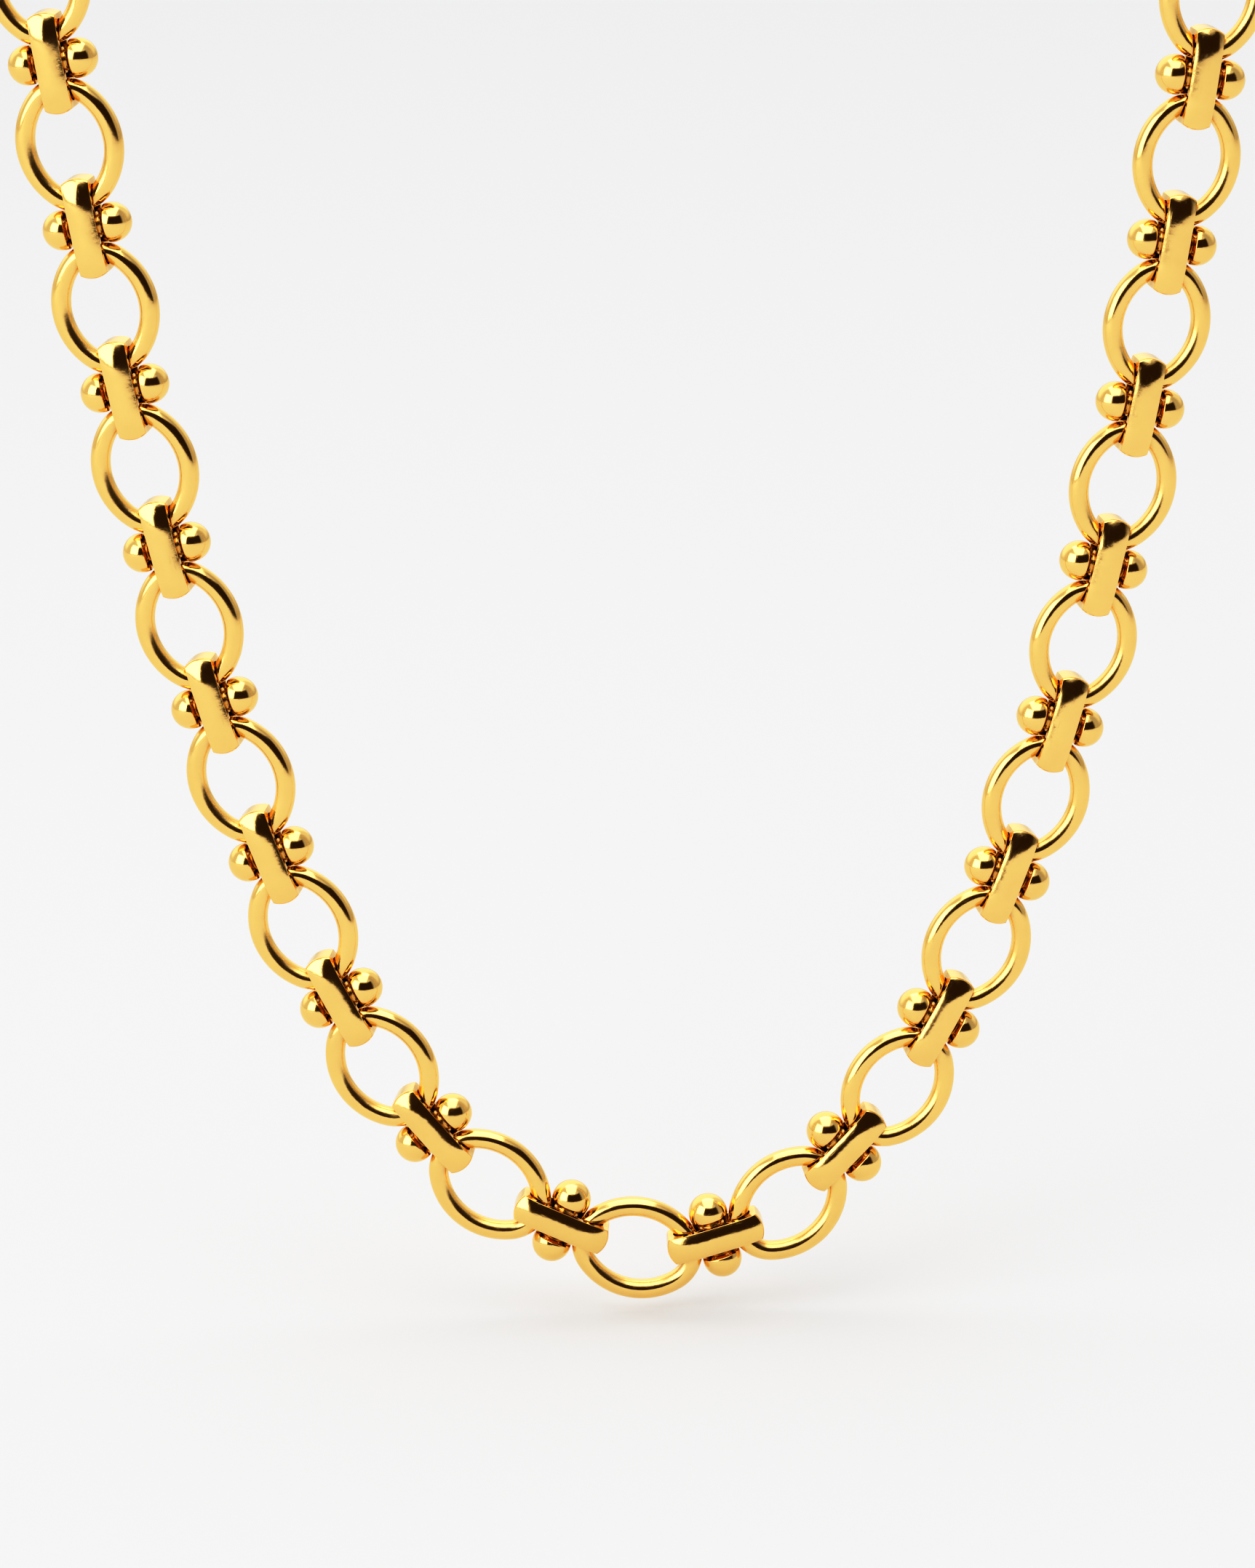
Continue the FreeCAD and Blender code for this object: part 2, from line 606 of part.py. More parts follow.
def place_closure(tops, jump, link, drop, clasp):
    """The jump rings, the clasp on the left end and the extender on the right end."""
    play = size("chain_play")
    jump_gap = size("jump_radius") - (size("jump_wire") + size("ring_wire")) / 2 - play
    for side, name in ((-1, "jump_ring_clasp"), (1, "jump_ring_extender")):
        ring_centre, slope, turn = tops[side]
        up = along(slope, turn)
        wire = ring_centre + up * ((size("ring_length") - size("ring_wire")) / 2)
        jump_centre = wire + up * jump_gap
        jump_top = jump_centre + up * size("jump_radius")
        place(name, [jump], seat(jump_centre, slope, turn, side))
        if side < 0:
            eye = jump_top + up * (size("eye_hole") - size("jump_wire") / 2 - play)
            for label, piece in clasp:
                place(label, [piece], seat(eye, slope, turn, side))
        else:
            place_extender(jump_top, up, (slope, turn, side), link, drop)


def place_extender(jump_top, up, facing, link, drop):
    """The extender: links that stand crosswise to their neighbours, and the drop on the last one."""
    play = size("chain_play")
    reach = (size("ext_length") - size("ext_wire")) / 2
    quarter_turn = Placement(Vector(), Rotation(Vector(0, 0, 1), 90))
    last_top, last_wire = jump_top, size("jump_wire")
    for number in range(1, int(size("ext_count")) + 1):
        low = last_top - up * ((last_wire + size("ext_wire")) / 2 + play)
        placement = seat(low + up * reach, *facing)
        if number % 2 == 0:
            placement = placement.multiply(quarter_turn)
        place(f"extender_link_{number}", [link], placement)
        last_top, last_wire = low + up * (2 * reach), size("ext_wire")
    eye_centre = last_top + up * (size("drop_eye") - size("ext_wire") - play)
    place("end_drop", [drop], seat(eye_centre, *facing))


def check_and_write():
    """Refuse any failed object or shape, then write one STEP file for each sub-part."""
    doc.recompute()
    failed = [o.Name for o in doc.Objects if set(o.State) & set(NEVER_OK)]
    assert not failed, f"failed objects: {failed}"
    for node in nodes:
        assert not node.Shape.isNull(), f"{node.Label} is null"
        assert node.Shape.isValid(), f"{node.Label} is not valid"
        assert node.Shape.Solids, f"{node.Label} has no solid"
    os.makedirs(NODE_FILES, exist_ok=True)
    for node in nodes:
        node.Shape.exportStep(os.path.join(NODE_FILES, f"{node.Label}.step"))


nodes = []
ring_pieces = [oval_ring()]
connector_pieces = [strap_loop(), cross_bar(), ball(1), ball(-1)]
clasp_pieces = [
    ("clasp_body", clasp_body()),
    ("clasp_lever", clasp_lever()),
    ("clasp_pin", clasp_pin()),
    ("clasp_spring", clasp_spring()),
]
chain_tops = place_chain(ring_pieces, connector_pieces)
place_closure(chain_tops, jump_ring(), extender_link(), end_drop(), clasp_pieces)
check_and_write()
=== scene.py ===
"""Polished gold-plated chain necklace in a white studio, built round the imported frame.

Millimetres are used for the shapes and turned into metres when a mesh is made. Every link's place and
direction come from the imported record's joints and from the boxes of the CAD nodes.
"""
import json
import math

import bpy
from mathutils import Matrix, Vector

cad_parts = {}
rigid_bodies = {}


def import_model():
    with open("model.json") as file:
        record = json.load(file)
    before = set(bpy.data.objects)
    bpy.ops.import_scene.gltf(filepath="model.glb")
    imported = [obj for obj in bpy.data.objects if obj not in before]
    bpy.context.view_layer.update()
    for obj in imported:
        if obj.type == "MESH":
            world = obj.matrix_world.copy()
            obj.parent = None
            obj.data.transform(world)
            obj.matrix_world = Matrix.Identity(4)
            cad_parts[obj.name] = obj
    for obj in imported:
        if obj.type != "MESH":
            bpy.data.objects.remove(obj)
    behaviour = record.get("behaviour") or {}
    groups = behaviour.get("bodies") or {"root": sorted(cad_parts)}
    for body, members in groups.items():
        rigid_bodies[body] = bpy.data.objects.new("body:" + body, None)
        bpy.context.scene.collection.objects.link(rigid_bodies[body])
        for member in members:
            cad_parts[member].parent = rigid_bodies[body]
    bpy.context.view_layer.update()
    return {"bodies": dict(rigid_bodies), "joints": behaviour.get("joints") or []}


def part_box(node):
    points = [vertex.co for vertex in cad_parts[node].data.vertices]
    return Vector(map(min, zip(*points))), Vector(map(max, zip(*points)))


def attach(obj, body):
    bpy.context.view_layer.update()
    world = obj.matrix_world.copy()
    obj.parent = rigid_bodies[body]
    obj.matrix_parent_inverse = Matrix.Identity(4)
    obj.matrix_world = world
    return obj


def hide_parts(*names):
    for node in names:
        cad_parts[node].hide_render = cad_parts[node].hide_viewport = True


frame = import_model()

MM = 0.001
JOINTS = {joint["name"]: joint for joint in frame["joints"]}

# ring, in millimetres
RING_WIRE, RING_LENGTH, RING_WIDTH, RING_END = 1.8, 12.1, 9.75, 3.15
# strap loop
STRAP_WIDTH, STRAP_LENGTH, STRAP_DEPTH, STRAP_THICK, STRAP_DOME = 2.5, 9.1, 4.2, 0.9, 0.38
STRAP_CORNER, STRAP_BEVEL = 0.3, 0.055
STRAP_FLAT, STRAP_DROP = 1.0, 0.42  # the arms start to curve in here, and their edges drop this far
# cross bar and balls
BAR_RADIUS, BAR_COLLAR, BAR_END = 0.98, 1.1, 2.05
BALL_RADIUS, BALL_CENTRE, BALL_RIM, BALL_BACK = 1.79, 2.29, 1.82, 1.45
# closure: jump rings, extender links, drop, clasp
JUMP_WIRE, JUMP_RADIUS = 1.0, 2.6
LINK_WIRE, LINK_LENGTH, LINK_WIDTH = 0.9, 5.8, 4.3
DROP_EYE, DROP_BALL, PLAY = 1.35, 4.0, 0.07
EYE_HOLE, EYE_OUTSIDE, CLAW_RISE, CLAW_INSIDE, CLAW_OUTSIDE, CLAW_THICK = 1.0, 1.9, 7.0, 2.5, 4.0, 2.6
HINGE_ACROSS, HINGE_RISE, HINGE_BOSS = 1.6, 4.23, 1.35
LEVER_THICK, LEVER_HUB, PIN_RADIUS = 1.4, 1.15, 0.4
SPRING_RADIUS, SPRING_WIRE = 0.64, 0.2


# ---------------------------------------------------------------- meshes


def face_outward(mesh):
    """Turns a closed mesh's faces over if they point inward, which a negative volume shows."""
    mesh.calc_loop_triangles()
    corners = [vertex.co for vertex in mesh.vertices]
    volume = 0.0
    for triangle in mesh.loop_triangles:
        a, b, c = (corners[index] for index in triangle.vertices)
        volume += a.dot(b.cross(c))
    if volume < 0:
        mesh.flip_normals()


def new_mesh(name, points, faces, smooth=True, closed=True):
    mesh = bpy.data.meshes.new(name)
    mesh.from_pydata([[c * MM for c in p] for p in points], [], faces)
    mesh.validate()
    if closed:
        face_outward(mesh)
    mesh.polygons.foreach_set("use_smooth", [smooth] * len(mesh.polygons))
    mesh.update()
    return mesh


def grid_faces(rows, columns, close_rows=True, close_columns=True):
    """Quads between neighbouring points of a rows by columns grid."""
    faces = []
    for r in range(rows if close_rows else rows - 1):
        for c in range(columns if close_columns else columns - 1):
            r2, c2 = (r + 1) % rows, (c + 1) % columns
            faces.append((r * columns + c, r * columns + c2, r2 * columns + c2, r2 * columns + c))
    return faces


def arc_points(centre, radius, start, end, count):
    """Points and outward directions along an arc, end point left out, angles in degrees."""
    result = []
    for k in range(count):
        angle = math.radians(start + (end - start) * k / count)
        out = (math.cos(angle), math.sin(angle))
        result.append(((centre[0] + radius * out[0], centre[1] + radius * out[1]), out))
    return result


def ring_mesh(name, sides=40):
    """An oval ring of round wire: two end arcs and two flatter side arcs."""
    rise = (RING_LENGTH - RING_WIRE) / 2 - RING_END
    step = (RING_WIDTH - RING_WIRE) / 2 - RING_END
    aside = (rise**2 - step**2) / (2 * step)
    turn = math.degrees(math.atan2(rise, aside))
    large = RING_END + step + aside
    path = arc_points((0, rise), RING_END, turn, 180 - turn, 44)
    path += arc_points((aside, 0), large, 180 - turn, 180 + turn, 36)
    path += arc_points((0, -rise), RING_END, 180 + turn, 360 - turn, 44)
    path += arc_points((-aside, 0), large, 360 - turn, 360 + turn, 36)
    points = []
    for (x, z), (ox, oz) in path:
        for k in range(sides):
            angle = 2 * math.pi * k / sides
            out, back = RING_WIRE / 2 * math.cos(angle), RING_WIRE / 2 * math.sin(angle)
            points.append((x + ox * out, back, z + oz * out))
    return new_mesh(name, points, grid_faces(len(path), sides))


def eased(low, high, count):
    """Values from low to high, end left out, packed closer together at both ends."""
    middle, half = (low + high) / 2, (high - low) / 2
    return [middle - half * math.cos(math.pi * k / count) for k in range(count)]


STRAIGHT, CORNER, END = 34, 7, 12


def outer_contour(inset):
    """The strap loop's outside in the YZ plane, pulled in by inset.

    The arms curve in towards the ends, the crown more than the edges, and meet the flat end faces
    in a small round corner.
    """
    depth, end, r = STRAP_DEPTH / 2 - inset, STRAP_LENGTH / 2 - inset, STRAP_CORNER
    drop = max(STRAP_DOME - inset, 0) + STRAP_DROP
    run = end - STRAP_FLAT

    def arm(v):
        share = max(abs(v) - STRAP_FLAT, 0) / run
        return depth - drop * share**3

    def tilt(v):
        share = max(v - STRAP_FLAT, 0) / run
        return math.atan(3 * drop * share**2 / run)

    top = end - r
    for _ in range(8):
        top = end - r * (1 - math.sin(tilt(top)))
    start = math.degrees(tilt(top))
    corner_y = arm(top) - r * math.cos(math.radians(start))
    corner_z = end - r
    half = [(-arm(v), v) for v in eased(-top, top, STRAIGHT)]
    half += [p for p, _ in arc_points((-corner_y, corner_z), r, 180 - start, 90, CORNER)]
    half += [(v, end) for v in eased(-corner_y, corner_y, END)]
    half += [p for p, _ in arc_points((corner_y, corner_z), r, 90, start, CORNER)]
    return half + [(-a, -b) for a, b in half]


def slot_contour(grow):
    """The strap loop's inside: a slot with round ends, grown by grow."""
    radius = STRAP_DEPTH / 2 - STRAP_THICK
    straight = STRAP_LENGTH / 2 - STRAP_THICK - radius
    half = [(-radius - grow, v) for v in eased(-straight, straight, STRAIGHT)]
    half += [p for p, _ in arc_points((0, straight), radius + grow, 180, 0, 2 * CORNER + END)]
    return half + [(-a, -b) for a, b in half]


def strap_mesh(name):
    """The strap loop: domed outside, flat sides, rounded slot, and a fine round on every edge."""
    half, bevel = STRAP_WIDTH / 2, STRAP_BEVEL
    dome = (half**2 + STRAP_DOME**2) / (2 * STRAP_DOME)

    def sag(x):
        return dome - math.sqrt(dome**2 - x**2)

    columns = []
    edge = half - bevel
    for k in range(17):
        x = -edge * math.cos(math.pi * k / 16)
        columns.append((x, outer_contour(sag(x))))
    for angle in (25, 50, 75, 90):
        a = math.radians(angle)
        inset = sag(edge) + bevel * (1 - math.cos(a)) * 1.25
        columns.append((edge + bevel * math.sin(a), outer_contour(inset)))
    columns.append((half, outer_contour(sag(edge) + bevel * 2.2)))
    columns.append((half, slot_contour(bevel * 1.6)))
    for angle in (90, 60, 30, 0):
        a = math.radians(angle)
        columns.append((edge + bevel * math.sin(a), slot_contour(bevel * (1 - math.cos(a)))))
    for k in range(1, 12):
        columns.append((edge * math.cos(math.pi * k / 12), slot_contour(0)))
    for angle in (0, 30, 60, 90):
        a = math.radians(angle)
        columns.append((-edge - bevel * math.sin(a), slot_contour(bevel * (1 - math.cos(a)))))
    columns.append((-half, slot_contour(bevel * 1.6)))
    columns.append((-half, outer_contour(sag(edge) + bevel * 2.2)))
    for angle in (90, 75, 50, 25):
        a = math.radians(angle)
        inset = sag(edge) + bevel * (1 - math.cos(a)) * 1.25
        columns.append((-edge - bevel * math.sin(a), outer_contour(inset)))
    points = [(x, y, z) for x, contour in columns for y, z in contour]
    return new_mesh(name, points, grid_faces(len(columns), len(columns[0][1])))


def lathe_mesh(name, profile, turns=56):
    """A solid turned about local X from (x, radius) pairs; a zero radius makes a pole."""
    points, rows = [], []
    for x, radius in profile:
        if radius == 0:
            rows.append([len(points)] * turns)
            points.append((x, 0, 0))
            continue
        rows.append(list(range(len(points), len(points) + turns)))
        for k in range(turns):
            angle = 2 * math.pi * k / turns
            points.append((x, radius * math.cos(angle), radius * math.sin(angle)))
    faces = []
    for first, second in zip(rows, rows[1:]):
        for k in range(turns):
            quad = [first[k], first[(k + 1) % turns], second[(k + 1) % turns], second[k]]
            face = tuple(dict.fromkeys(quad))
            if len(face) > 2:
                faces.append(face)
    return new_mesh(name, points, faces)


def wire_mesh(name, path, wire, closed=True, sides=24, pinch=None):
    """Round wire along a path of points; pinch gives the wire's radius share at each point."""
    points = []
    count = len(path)
    reference = Vector((0, 1, 0))
    for k, point in enumerate(path):
        before, after = path[k - 1], path[(k + 1) % count]
        if not closed:
            before, after = path[max(k - 1, 0)], path[min(k + 1, count - 1)]
        forward = (Vector(after) - Vector(before)).normalized()
        side = reference.cross(forward)
        if side.length < 1e-4:
            side = Vector((1, 0, 0)).cross(forward)
        side.normalize()
        up = forward.cross(side)
        radius = wire / 2 * (pinch[k] if pinch else 1)
        for m in range(sides):
            angle = 2 * math.pi * m / sides
            points.append(Vector(point) + (side * math.cos(angle) + up * math.sin(angle)) * radius)
    faces = grid_faces(count, sides, close_rows=closed)
    if not closed:
        faces += [tuple(range(sides))[::-1], tuple(range((count - 1) * sides, count * sides))]
    return new_mesh(name, points, faces)


def loft_mesh(name, sections, closed=False, sides=40):
    """A smooth solid through sections (centre, outward, half width, half depth): rounded rectangles.

    Each section spans the outward direction, in the XZ plane, and the depth, along Y.
    """
    points = []
    for (x, z), (ox, oz), wide, deep in sections:
        for m in range(sides):
            angle = 2 * math.pi * m / sides
            c, d = math.cos(angle), math.sin(angle)
            across = wide * math.copysign(abs(c) ** 0.62, c)
            points.append((x + ox * across, deep * math.copysign(abs(d) ** 0.62, d), z + oz * across))
    faces = grid_faces(len(sections), sides, close_rows=closed)
    if not closed:
        last = (len(sections) - 1) * sides
        faces += [tuple(range(sides))[::-1], tuple(range(last, last + sides))]
    return new_mesh(name, points, faces)


def arc_loft(name, centre, radius, start, end, wide, deep, nose=0.0, tail=0.0):
    """A bent solid about a centre; nose and tail are the degrees over which an end rounds off."""
    count = 72
    sections = []
    for k in range(count + 1):
        degrees = start + (end - start) * k / count
        angle = math.radians(degrees)
        share = 1.0
        if nose and degrees - start < nose:
            share = math.sqrt(max(1 - (1 - (degrees - start) / nose) ** 2, 0.0)) * 0.97 + 0.03
        if tail and end - degrees < tail:
            share = math.sqrt(max(1 - (1 - (end - degrees) / tail) ** 2, 0.0)) * 0.97 + 0.03
        out = (math.cos(angle), math.sin(angle))
        at = (centre[0] + radius * out[0], centre[1] + radius * out[1])
        sections.append((at, out, wide * share, deep * share))
    return loft_mesh(name, sections)


def washer_mesh(name, radius, low, high, bore=0.0, edge=0.12, turns=48):
    """A disc about local Y from low to high with rounded rims, and a bore if one is given."""
    profile = [(low, bore)]
    for angle in range(90, -1, -15):
        a = math.radians(angle)
        profile.append((low + edge * (1 - math.cos(math.radians(90 - angle))),
                        radius - edge * (1 - math.cos(a))))
    for angle in range(0, 91, 15):
        a = math.radians(angle)
        profile.append((high - edge * (1 - math.sin(a)) if angle < 90 else high,
                        radius - edge * (1 - math.cos(a))))
    profile.append((high, bore))
    if bore:
        profile.append((low, bore))
    mesh = lathe_mesh(name, profile, turns)
    mesh.transform(Matrix.Rotation(math.pi / 2, 4, "Z"))
    return mesh


def ball_mesh(name):
    """A dome with a crisp rim, a shallow cone behind it and a bore for the bar's end."""
    rim_angle = math.degrees(math.acos((BALL_CENTRE - BALL_RIM) / BALL_RADIUS))
    profile = []
    for k in range(40):
        angle = math.radians((180 - rim_angle - 1.5) * k / 39)
        profile.append((BALL_CENTRE + BALL_RADIUS * math.cos(angle), BALL_RADIUS * math.sin(angle)))
    rim_radius = math.sqrt(BALL_RADIUS**2 - (BALL_CENTRE - BALL_RIM) ** 2)
    profile += [(BALL_RIM - 0.012, rim_radius - 0.03), (BALL_RIM - 0.04, rim_radius - 0.1)]
    for k in range(1, 6):
        share = k / 6
        x = BALL_RIM - 0.04 + (BALL_BACK - BALL_RIM + 0.04) * share
        profile.append((x, rim_radius - 0.1 + (BAR_RADIUS + 0.1 - rim_radius) * share))
    profile += [(BALL_BACK, BAR_RADIUS + 0.012), (BALL_BACK + 0.03, BAR_RADIUS + 0.004)]
    profile += [(BAR_END, BAR_RADIUS + 0.004), (BAR_END + 0.01, 0.4), (BAR_END + 0.01, 0)]
    profile[0] = (profile[0][0], 0)
    return lathe_mesh(name, profile)


def bar_mesh(name):
    """The cross bar: a thick middle between the strap's arms, filleted down to its two necks."""
    thick = STRAP_DEPTH / 2 - STRAP_THICK
    fillet = thick - BAR_RADIUS
    half = [(BAR_END, 0), (BAR_END, BAR_RADIUS * 0.6), (BAR_END - 0.02, BAR_RADIUS - 0.02)]
    half += [(BAR_END - 0.06, BAR_RADIUS), (BALL_BACK, BAR_RADIUS), (BAR_COLLAR + fillet, BAR_RADIUS)]
    for angle in (20, 40, 60, 80):
        a = math.radians(angle)
        half.append((BAR_COLLAR + fillet * (1 - math.sin(a)), BAR_RADIUS + fillet * (1 - math.cos(a))))
    half.append((BAR_COLLAR - 0.04, thick - 0.03))
    half.append((BAR_COLLAR - 0.12, thick))
    profile = half + [(0.5, thick), (-0.5, thick)] + [(-x, r) for x, r in reversed(half)]
    return lathe_mesh(name, profile)


# ---------------------------------------------------------------- where the links are


def place(joint):
    return Vector(JOINTS[joint]["pos_m"])


def box_centre(node):
    low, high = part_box(node)
    return (low + high) / 2


def frame_matrix(centre, along, back):
    """A link's frame: local Z along the chain, local Y to the back."""
    z = along.normalized()
    x = back.cross(z).normalized()
    y = z.cross(x)
    matrix = Matrix((x, y, z)).transposed().to_4x4()
    matrix.translation = centre
    return matrix


def back_of(axis):
    """The axis, turned so that it points to the back."""
    v = Vector(axis)
    return v if v.y > 0 else -v


RING_COUNT = sum(1 for body in frame["bodies"] if body.startswith("ring_"))
MIDDLE = (RING_COUNT + 1) // 2
ARM = ((STRAP_LENGTH + 5.8) / 2 - 2.0) * MM  # arc centre of a ring to the loop's middle


def connector_matrix(number):
    swing, fold_side = f"swing_{number:02d}", number + 1 if number >= MIDDLE else number
    fold = f"fold_{fold_side:02d}"
    start, end = place(swing), place(fold)
    along = (end - start).normalized()
    across = Vector(JOINTS[fold]["axis"])
    return frame_matrix(box_centre(f"connector_{number:02d}"), along, back_of(along.cross(across)))


def ring_matrix(number):
    """Local Z from the ring's inner end to its outer end; the joint on each side says which way."""
    node = f"ring_{number:02d}"
    centre = box_centre(node)
    if number == MIDDLE:
        return frame_matrix(centre, place(f"swing_{number:02d}") - centre,
                            back_of(JOINTS[f"swing_{number:02d}"]["axis"]))
    outer = {1: "fold_jump_clasp", RING_COUNT: "fold_jump_extender"}
    if number in outer:
        end = outer[number]
        along = place(end) - centre
        return frame_matrix(centre, along, back_of(along.cross(Vector(JOINTS[end]["axis"]))))
    swing = f"swing_{number if number > MIDDLE else number - 1:02d}"
    return frame_matrix(centre, place(swing) - centre, back_of(JOINTS[swing]["axis"]))


def add_piece(name, mesh, matrix, body, material, node):
    piece = bpy.data.objects.new(name, mesh)
    bpy.context.scene.collection.objects.link(piece)
    piece.matrix_world = matrix
    if not mesh.materials:
        mesh.materials.append(material)
    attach(piece, body)
    if node:
        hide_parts(node)
    return piece


# ---------------------------------------------------------------- materials


class Nodes:
    """A short way to write a material's node tree."""

    def __init__(self, tree):
        self.tree = tree

    def add(self, kind, inputs=None, **settings):
        node = self.tree.nodes.new("ShaderNode" + kind)
        for key, value in settings.items():
            setattr(node, key, value)
        for key, value in (inputs or {}).items():
            socket = node.inputs[key]
            if isinstance(value, bpy.types.NodeSocket):
                self.tree.links.new(value, socket)
            else:
                socket.default_value = value
        return node

    def math(self, operation, first, second=0.0, clamp=False):
        return self.add("Math", {0: first, 1: second}, operation=operation, use_clamp=clamp).outputs[0]

    def ramp(self, value, low, high, to_low=0.0, to_high=1.0):
        inputs = {"Value": value, "From Min": low, "From Max": high, "To Min": to_low, "To Max": to_high}
        return self.add("MapRange", inputs).outputs["Result"]

    def noise(self, vector, scale, detail=2.0, rough=0.5):
        inputs = {"Vector": vector, "Scale": scale, "Detail": detail, "Roughness": rough}
        return self.add("TexNoise", inputs).outputs["Fac"]

    def mix(self, share, first, second):
        node = self.add("Mix", data_type="RGBA")
        for index, value in ((0, share), (6, first), (7, second)):
            if isinstance(value, bpy.types.NodeSocket):
                self.tree.links.new(value, node.inputs[index])
            else:
                node.inputs[index].default_value = value
        return node.outputs[2]


def rubbed_parts(n, place_in):
    """Masks on a ring: its inner side, and there the two ends that rub on the strap loops."""
    parts = n.add("SeparateXYZ", {0: place_in}).outputs
    half_wide, half_long = (RING_WIDTH - RING_WIRE) / 2 * MM, (RING_LENGTH - RING_WIRE) / 2 * MM
    across = n.math("POWER", n.math("DIVIDE", n.math("ABSOLUTE", parts["X"]), half_wide), 2.0)
    along = n.math("POWER", n.math("DIVIDE", n.math("ABSOLUTE", parts["Z"]), half_long), 2.0)
    inside = n.ramp(n.math("SQRT", n.math("ADD", across, along)), 0.95, 0.87)
    ends = n.ramp(n.math("ABSOLUTE", parts["Z"]), 3.9 * MM, 4.5 * MM)
    return inside, n.math("MULTIPLY", inside, ends)


def gold(name, tint, deep, roughness, ripple, peel, scratch, stretch=(1, 1, 1), rubbed=False):
    """Polished gold plating: warm tone shifts, painted shade in crevices, orange peel, hairline scratches, worn
    and dull spots.
    """
    material = bpy.data.materials.new(name)
    material.use_nodes = True
    n = Nodes(material.node_tree)
    material.node_tree.nodes.clear()
    place_in = n.add("TexCoord").outputs["Object"]
    chance = n.add("ObjectInfo").outputs["Random"]
    shift = n.math("MULTIPLY", chance, 3.7)
    where = n.add("VectorMath", {0: place_in, 1: shift}, operation="ADD").outputs[0]

    cloud = n.noise(where, 420, 3.0, 0.55)
    fine = n.noise(where, 3600, 3.0, 0.6)
    hairs_at = n.add("Mapping", {"Vector": where, "Scale": stretch}).outputs[0]
    hairs = n.noise(hairs_at, 5200, 2.0, 0.6)
    marks = n.ramp(hairs, 0.62, 0.72)

    # painted shade: the colour turns towards deep where ambient occlusion finds a crevice
    inner = n.add("AmbientOcclusion", {"Distance": 0.0009}, samples=6).outputs["AO"]
    painted_crevice_shade = n.ramp(inner, 0.25, 0.8, 1.0, 0.0)
    tone = n.mix(n.ramp(cloud, 0.35, 0.7), tint, tuple(c * 0.965 for c in tint[:3]) + (1.0,))
    tone = n.mix(n.math("MULTIPLY", painted_crevice_shade, 0.55), tone, deep)

    dull = n.math("MULTIPLY", n.ramp(cloud, 0.45, 0.75), 0.05)
    rough = n.math("ADD", n.math("ADD", roughness, dull), n.math("MULTIPLY", marks, 0.08))
    rough = n.math("ADD", rough, n.math("MULTIPLY", fine, 0.03), clamp=True)
    sparkle = 0.0
    if rubbed:
        inside, contact = rubbed_parts(n, place_in)
        patch = n.ramp(n.noise(where, 800, 3.0, 0.6), 0.42, 0.6)
        wear = n.math("MULTIPLY", contact, patch)
        tone = n.mix(n.math("MULTIPLY", wear, 0.55), tone, (0.52, 0.47, 0.4, 1.0))
        rough = n.math("ADD", rough, n.math("MULTIPLY", inside, 0.1))
        rough = n.math("ADD", rough, n.math("MULTIPLY", wear, 0.15), clamp=True)
        sparkle = n.math("MULTIPLY", inside, 5.0)

    wave = n.noise(where, 900, 1.0, 0.4)
    height = n.math("MULTIPLY", wave, ripple)
    height = n.math("ADD", height, n.math("MULTIPLY", fine, n.math("ADD", peel, sparkle)))
    height = n.math("SUBTRACT", height, n.math("MULTIPLY", marks, scratch))
    bump = n.add("Bump", {"Height": height, "Strength": 1.0, "Distance": 0.000001}).outputs[0]

    shader = n.add("BsdfPrincipled", {
        "Base Color": tone, "Metallic": 1.0, "Roughness": rough, "Normal": bump,
        "Specular Tint": (1.0, 0.97, 0.9, 1.0),
    })
    out = n.add("OutputMaterial")
    n.tree.links.new(shader.outputs[0], out.inputs["Surface"])
    return material


TINT = (1.0, 0.694, 0.28, 1.0)
# the colour of the painted shade in crevices
CREVICE_SHADE_COLOUR = (0.6, 0.29, 0.05, 1.0)
ring_gold = gold("ring_gold", TINT, CREVICE_SHADE_COLOUR, 0.10, 14.0, 2.6, 1.4, (0.15, 1, 0.15), rubbed=True)
strap_gold = gold("strap_gold", TINT, CREVICE_SHADE_COLOUR, 0.09, 20.0, 5.0, 2.0, (1, 1, 0.12))
ball_gold = gold("ball_gold", TINT, CREVICE_SHADE_COLOUR, 0.09, 16.0, 3.6, 1.6, (1, 0.3, 0.3))
bar_gold = gold("bar_gold", (0.93, 0.64, 0.24, 1.0), CREVICE_SHADE_COLOUR, 0.2, 22.0, 5.0, 3.0, (1, 0.2, 0.2))
finding_gold = gold("finding_gold", TINT, CREVICE_SHADE_COLOUR, 0.12, 10.0, 2.6, 1.6, (0.3, 0.3, 1))
# the steel's second colour is its painted crevice shade
steel = gold("spring_steel", (0.62, 0.6, 0.57, 1.0), (0.2, 0.18, 0.16, 1.0), 0.22, 4.0, 3.0, 3.0, (1, 0.2, 1))

# ---------------------------------------------------------------- the chain

ring = ring_mesh("ring")
strap = strap_mesh("strap")
ball = ball_mesh("ball")
bar = bar_mesh("bar")
TURN_ROUND = Matrix.Rotation(math.pi, 4, "Z")

for number in range(1, RING_COUNT + 1):
    body = f"ring_{number:02d}"
    add_piece(f"oval_ring_{number:02d}", ring, ring_matrix(number), body, ring_gold, body)
for number in range(1, RING_COUNT):
    body = f"connector_{number:02d}"
    matrix = connector_matrix(number)
    for piece, mesh, turn, material in (
        ("strap_loop", strap, Matrix(), strap_gold),
        ("cross_bar", bar, Matrix(), bar_gold),
        ("ball_a", ball, Matrix(), ball_gold),
        ("ball_b", ball, TURN_ROUND, ball_gold),
    ):
        add_piece(f"{piece}_{number:02d}", mesh, matrix @ turn, body, material, body)

# ---------------------------------------------------------------- the closure


